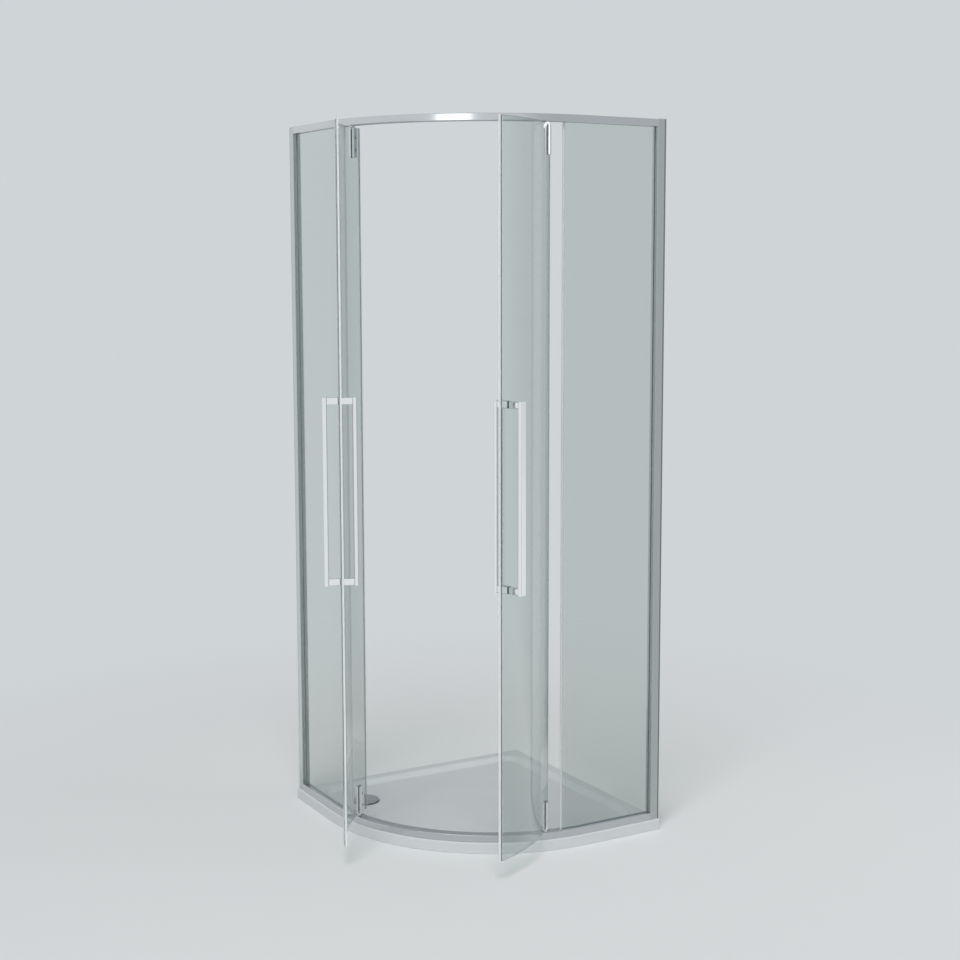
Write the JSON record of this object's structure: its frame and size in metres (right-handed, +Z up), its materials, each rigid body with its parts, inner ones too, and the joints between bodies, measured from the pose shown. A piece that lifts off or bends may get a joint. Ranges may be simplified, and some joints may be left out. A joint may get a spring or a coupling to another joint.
{
  "type": "shower enclosure",
  "caption": "Quadrant corner shower enclosure with a low tray, fixed glass panels and curved glass pivot doors that open outwards.",
  "frame": {"origin": "middle of the tray's square outline, on the floor", "axes": "+Z up, +Y towards the back wall, +X towards the side wall; the rounded corner points to -X -Y"},
  "size_m": [0.9523, 0.9523, 2.0455],
  "materials": {
    "tray_resin": "white gloss stone resin",
    "chrome": "polished chrome",
    "bright_aluminium": "bright anodised",
    "mill_aluminium": "mill finish",
    "glass": "clear toughened glass",
    "clear_seal": "translucent seal",
    "magnet": "white magnetic tape",
    "grey_rubber": "matt",
    "white_nylon": "moulded",
    "grey_plastic": "moulded",
    "steel": "stainless"
  },
  "bodies": {
    "frame": {"tray": "tray_resin", "waste_body": "grey_plastic", "waste_seal": "grey_rubber", "waste_cover": "chrome", "wall_channel_right": "mill_aluminium", "wall_channel_left": "mill_aluminium", "glass_profile_right": "bright_aluminium", "glass_profile_left": "bright_aluminium", "profile_cap_right": "chrome", "profile_cap_left": "chrome", "profile_screws_right": "steel", "profile_screws_left": "steel", "glazing_gasket_right": "grey_rubber", "glazing_gasket_left": "grey_rubber", "fixed_glass_right": "glass", "fixed_glass_left": "glass", "setting_blocks_right": "grey_rubber", "setting_blocks_left": "grey_rubber", "end_seal_right": "clear_seal", "end_seal_left": "clear_seal", "top_rail": "bright_aluminium", "bottom_rail": "bright_aluminium", "top_infill": "grey_plastic", "bottom_infill": "grey_plastic", "rail_screws_right": "steel", "rail_screws_left": "steel", "pivot_bushes_right": "white_nylon", "pivot_bushes_left": "white_nylon"},
    "right_door": {"door_glass_right": "glass", "hinge_block_top_right": "chrome", "hinge_block_bottom_right": "chrome", "hinge_pads_right": "grey_rubber", "pivot_pins_right": "steel", "hinge_screws_right": "steel", "handle_outer_right": "chrome", "handle_inner_right": "chrome", "handle_studs_right": "steel", "handle_washers_right": "grey_rubber", "magnetic_seal_right": "clear_seal", "magnet_strip_right": "magnet", "tail_seal_right": "clear_seal", "bottom_seal_right": "clear_seal"},
    "left_door": {"door_glass_left": "glass", "hinge_block_top_left": "chrome", "hinge_block_bottom_left": "chrome", "hinge_pads_left": "grey_rubber", "pivot_pins_left": "steel", "hinge_screws_left": "steel", "handle_outer_left": "chrome", "handle_inner_left": "chrome", "handle_studs_left": "steel", "handle_washers_left": "grey_rubber", "magnetic_seal_left": "clear_seal", "magnet_strip_left": "magnet", "tail_seal_left": "clear_seal", "bottom_seal_left": "clear_seal"}
  },
  "joints": [
    {"name": "right_door_hinge", "type": "hinge", "parent": "frame", "child": "right_door", "pos_m": [0.02518, -0.36612, 0], "axis": [0, 0, 1], "range_deg": [-62, 33]},
    {"name": "left_door_hinge", "type": "hinge", "parent": "frame", "child": "left_door", "pos_m": [-0.36612, 0.02518, 0], "axis": [0, 0, -1], "range_deg": [-62, 33]}
  ]
}
